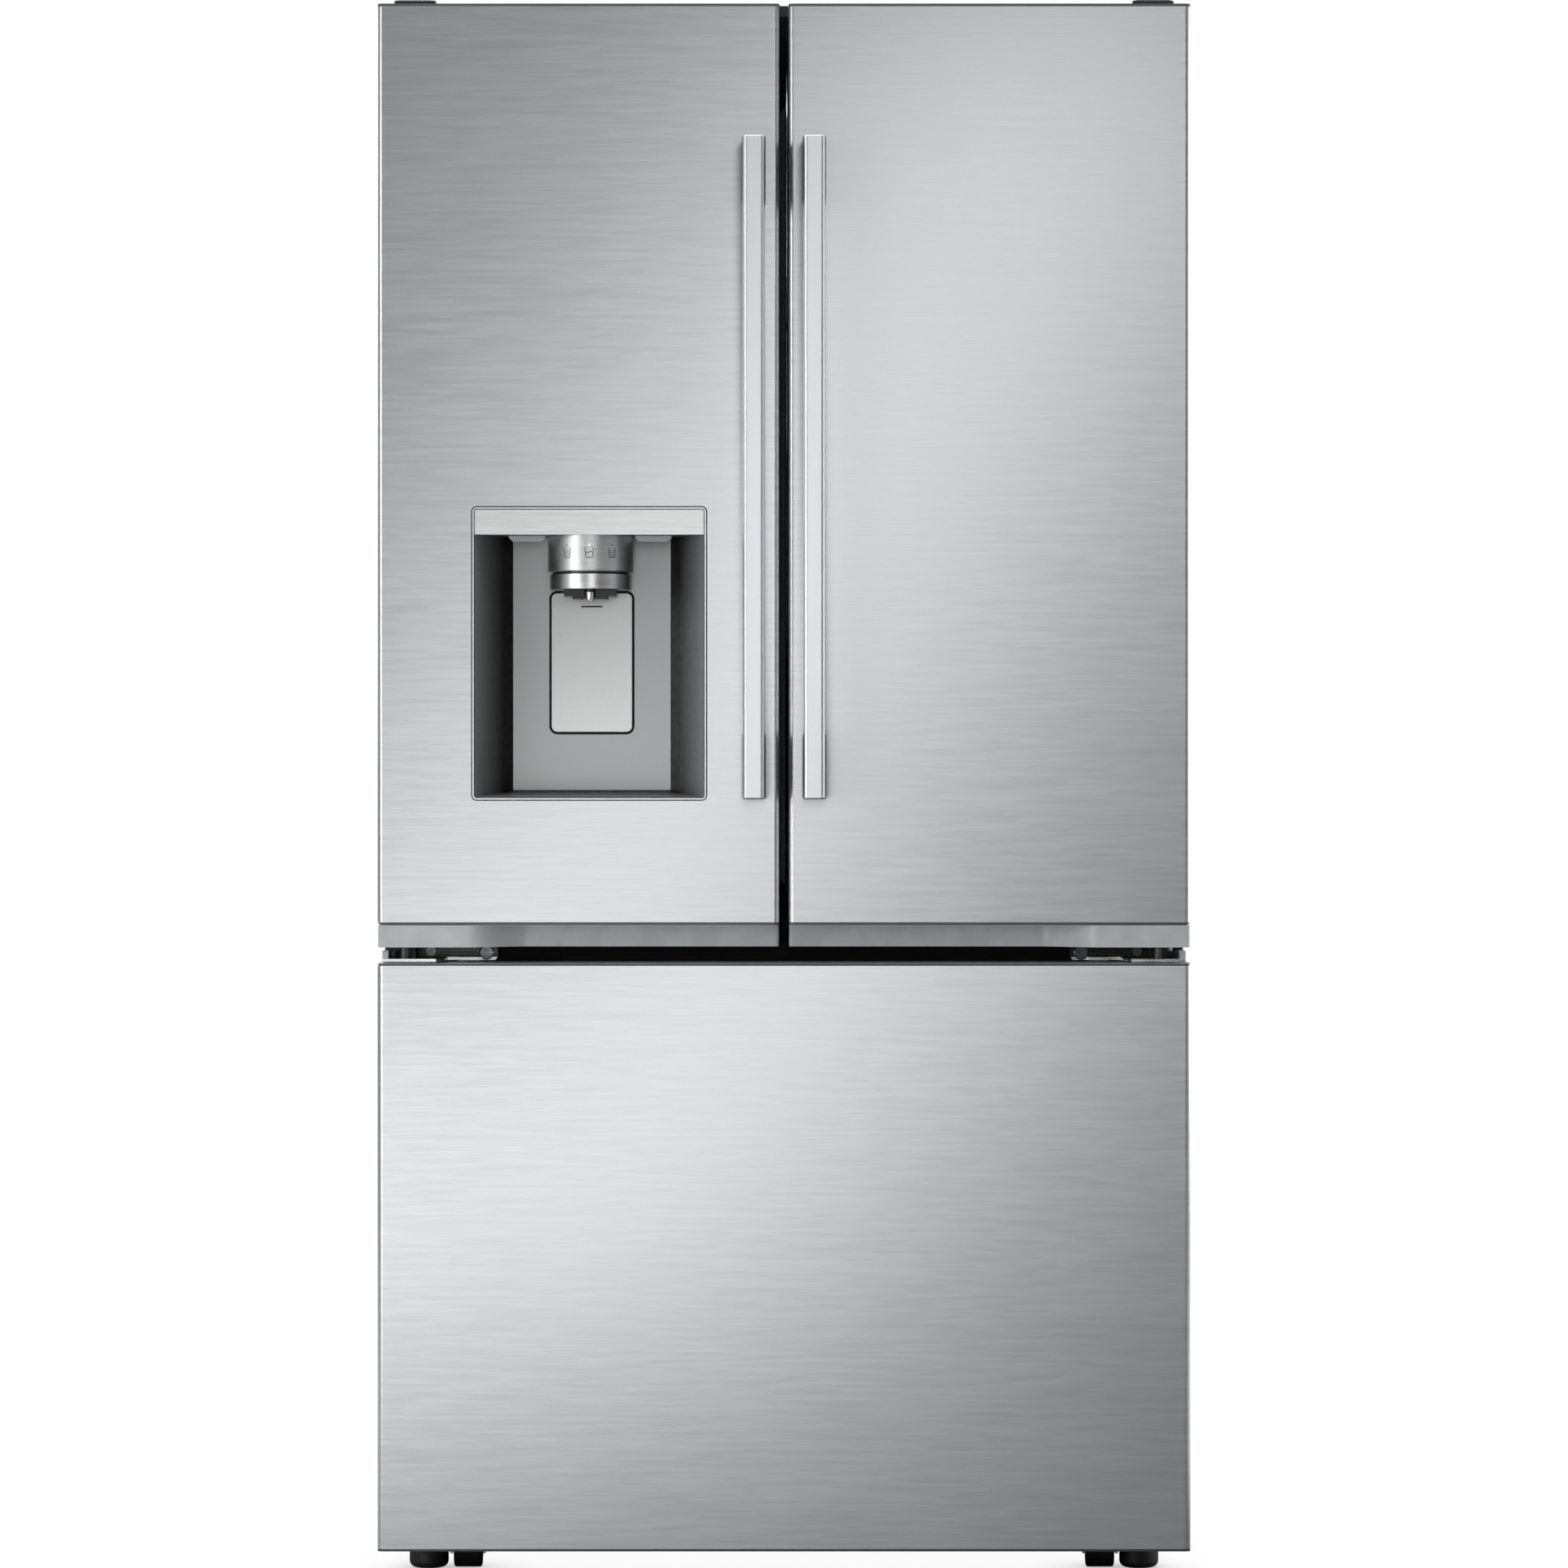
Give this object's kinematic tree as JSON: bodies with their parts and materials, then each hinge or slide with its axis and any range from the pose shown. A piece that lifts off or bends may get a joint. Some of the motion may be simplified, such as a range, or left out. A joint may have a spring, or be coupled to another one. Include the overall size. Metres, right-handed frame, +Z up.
{
  "type": "french door refrigerator",
  "caption": "French door refrigerator in brushed steel with bar handles, an ice and water dispenser in the left door, and a wide freezer drawer below.",
  "frame": {"origin": "middle of the footprint on the floor, halfway between the back of the cabinet and the front of the handles", "axes": "+X to the viewer's right when facing the doors, +Y towards the back, +Z up"},
  "size_m": [0.908, 0.914, 1.784],
  "materials": {
    "cabinet_shell": "satin paint",
    "cabinet_foam": "rigid foam",
    "fridge_liner": "smooth moulded",
    "freezer_liner": "smooth moulded",
    "center_crossbar": "satin paint",
    "base_frame": "satin paint",
    "machine_cover": "galvanised",
    "power_cord_gland": "matte",
    "water_inlet_valve": "moulded",
    "compressor": "gloss paint",
    "condenser_coil": "painted",
    "condenser_fan_shroud": "moulded",
    "top_hinge_brackets": "zinc plated",
    "top_hinge_covers": "fine grain",
    "middle_hinge_brackets": "zinc plated",
    "hinge_bolts": "plated",
    "glass_shelves": "clear",
    "shelf_trims": "smooth moulded",
    "interior_drawers": "clear moulded",
    "fridge_air_duct": "smooth moulded",
    "interior_light": "frosted",
    "slide_rails": "zinc plated",
    "left_door_skin": "brushed along X",
    "left_door_inner_panel": "smooth moulded surface over foam",
    "left_door_top_cap": "moulded",
    "left_door_bottom_cap": "moulded",
    "left_door_gasket": "soft",
    "left_handle_bar": "brushed",
    "left_handle_posts": "satin",
    "left_door_bins": "clear moulded",
    "ice_maker_housing": "smooth moulded surface over foam",
    "mullion_hinge": "moulded",
    "dispenser_fascia": "brushed along X",
    "dispenser_recess": "moulded",
    "dispenser_control_ring": "metallic",
    "dispenser_nozzle": "moulded",
    "dispenser_lights": "frosted",
    "mullion_bar": "painted",
    "dispenser_lever": "moulded",
    "right_door_skin": "brushed along X",
    "right_door_inner_panel": "smooth moulded surface over foam",
    "right_door_top_cap": "moulded",
    "right_door_bottom_cap": "moulded",
    "right_door_gasket": "soft",
    "right_handle_bar": "brushed",
    "right_handle_posts": "satin",
    "right_door_bins": "clear moulded",
    "drawer_skin": "brushed along X",
    "drawer_inner_panel": "smooth moulded surface over foam",
    "drawer_end_caps": "moulded",
    "drawer_gasket": "soft",
    "slide_inners": "zinc plated",
    "freezer_lower_bin": "clear moulded",
    "slide_middles": "zinc plated",
    "freezer_upper_basket": "clear moulded",
    "front_rollers": "moulded",
    "rear_rollers": "moulded",
    "leveling_foot_left": "moulded",
    "leveling_foot_right": "moulded",
    "condenser_fan_blade": "moulded"
  },
  "bodies": {
    "cabinet": {"cabinet_shell": "cabinet_shell", "cabinet_foam": "cabinet_foam", "fridge_liner": "fridge_liner", "freezer_liner": "freezer_liner", "center_crossbar": "center_crossbar", "base_frame": "base_frame", "machine_cover": "machine_cover", "power_cord_gland": "power_cord_gland", "water_inlet_valve": "water_inlet_valve", "compressor": "compressor", "condenser_coil": "condenser_coil", "condenser_fan_shroud": "condenser_fan_shroud", "top_hinge_brackets": "top_hinge_brackets", "top_hinge_covers": "top_hinge_covers", "middle_hinge_brackets": "middle_hinge_brackets", "hinge_bolts": "hinge_bolts", "glass_shelves": "glass_shelves", "shelf_trims": "shelf_trims", "interior_drawers": "interior_drawers", "fridge_air_duct": "fridge_air_duct", "interior_light": "interior_light", "slide_rails": "slide_rails"},
    "left_door": {"left_door_skin": "left_door_skin", "left_door_inner_panel": "left_door_inner_panel", "left_door_top_cap": "left_door_top_cap", "left_door_bottom_cap": "left_door_bottom_cap", "left_door_gasket": "left_door_gasket", "left_handle_bar": "left_handle_bar", "left_handle_posts": "left_handle_posts", "left_door_bins": "left_door_bins", "ice_maker_housing": "ice_maker_housing", "mullion_hinge": "mullion_hinge", "dispenser_fascia": "dispenser_fascia", "dispenser_recess": "dispenser_recess", "dispenser_control_ring": "dispenser_control_ring", "dispenser_nozzle": "dispenser_nozzle", "dispenser_lights": "dispenser_lights"},
    "mullion": {"mullion_bar": "mullion_bar"},
    "dispenser_lever": {"dispenser_lever": "dispenser_lever"},
    "right_door": {"right_door_skin": "right_door_skin", "right_door_inner_panel": "right_door_inner_panel", "right_door_top_cap": "right_door_top_cap", "right_door_bottom_cap": "right_door_bottom_cap", "right_door_gasket": "right_door_gasket", "right_handle_bar": "right_handle_bar", "right_handle_posts": "right_handle_posts", "right_door_bins": "right_door_bins"},
    "freezer_drawer": {"drawer_skin": "drawer_skin", "drawer_inner_panel": "drawer_inner_panel", "drawer_end_caps": "drawer_end_caps", "drawer_gasket": "drawer_gasket", "slide_inners": "slide_inners", "freezer_lower_bin": "freezer_lower_bin"},
    "slide_middles": {"slide_middles": "slide_middles"},
    "upper_basket": {"freezer_upper_basket": "freezer_upper_basket"},
    "front_rollers": {"front_rollers": "front_rollers"},
    "rear_rollers": {"rear_rollers": "rear_rollers"},
    "leveling_foot_left": {"leveling_foot_left": "leveling_foot_left"},
    "leveling_foot_right": {"leveling_foot_right": "leveling_foot_right"},
    "condenser_fan": {"condenser_fan_blade": "condenser_fan_blade"}
  },
  "joints": [
    {"name": "left_door_hinge", "type": "hinge", "parent": "cabinet", "child": "left_door", "pos_m": [-0.424, -0.347, 1.24], "axis": [0, 0, -1], "range_deg": [0, 125]},
    {"name": "right_door_hinge", "type": "hinge", "parent": "cabinet", "child": "right_door", "pos_m": [0.424, -0.347, 1.24], "axis": [0, 0, 1], "range_deg": [0, 125]},
    {"name": "mullion_fold", "type": "hinge", "parent": "left_door", "child": "mullion", "pos_m": [-0.044, -0.2812, 1.2], "axis": [0, 0, -1], "range_deg": [0, 90]},
    {"name": "dispenser_lever_push", "type": "hinge", "parent": "left_door", "child": "dispenser_lever", "pos_m": [-0.2175, -0.295, 1.103], "axis": [1, 0, 0], "range_deg": [0, 7], "stiffness_Nm_per_rad": 0.6, "springref_deg": -6.88},
    {"name": "freezer_drawer_slide", "type": "slide", "parent": "cabinet", "child": "freezer_drawer", "axis": [0, -1, 0], "range_m": [0, 0.43]},
    {"name": "slide_middle_travel", "type": "slide", "parent": "cabinet", "child": "slide_middles", "axis": [0, -1, 0], "range_m": [0, 0.215]},
    {"name": "upper_basket_slide", "type": "slide", "parent": "cabinet", "child": "upper_basket", "axis": [0, -1, 0], "range_m": [0, 0.258]},
    {"name": "front_roller_spin", "type": "hinge", "parent": "cabinet", "child": "front_rollers", "pos_m": [0, -0.235, 0.024], "axis": [1, 0, 0], "continuous": true},
    {"name": "rear_roller_spin", "type": "hinge", "parent": "cabinet", "child": "rear_rollers", "pos_m": [0, 0.4, 0.024], "axis": [1, 0, 0], "continuous": true},
    {"name": "left_foot_height", "type": "slide", "parent": "cabinet", "child": "leveling_foot_left", "axis": [0, 0, 1], "range_m": [0, 0.012]},
    {"name": "right_foot_height", "type": "slide", "parent": "cabinet", "child": "leveling_foot_right", "axis": [0, 0, 1], "range_m": [0, 0.012]},
    {"name": "condenser_fan_spin", "type": "hinge", "parent": "cabinet", "child": "condenser_fan", "pos_m": [0.016, 0.335, 0.172], "axis": [1, 0, 0], "continuous": true}
  ],
  "couplings": [
    {"joint": "slide_middle_travel", "follows": "freezer_drawer_slide", "ratio": 0.5},
    {"joint": "upper_basket_slide", "follows": "freezer_drawer_slide", "ratio": 0.6}
  ]
}
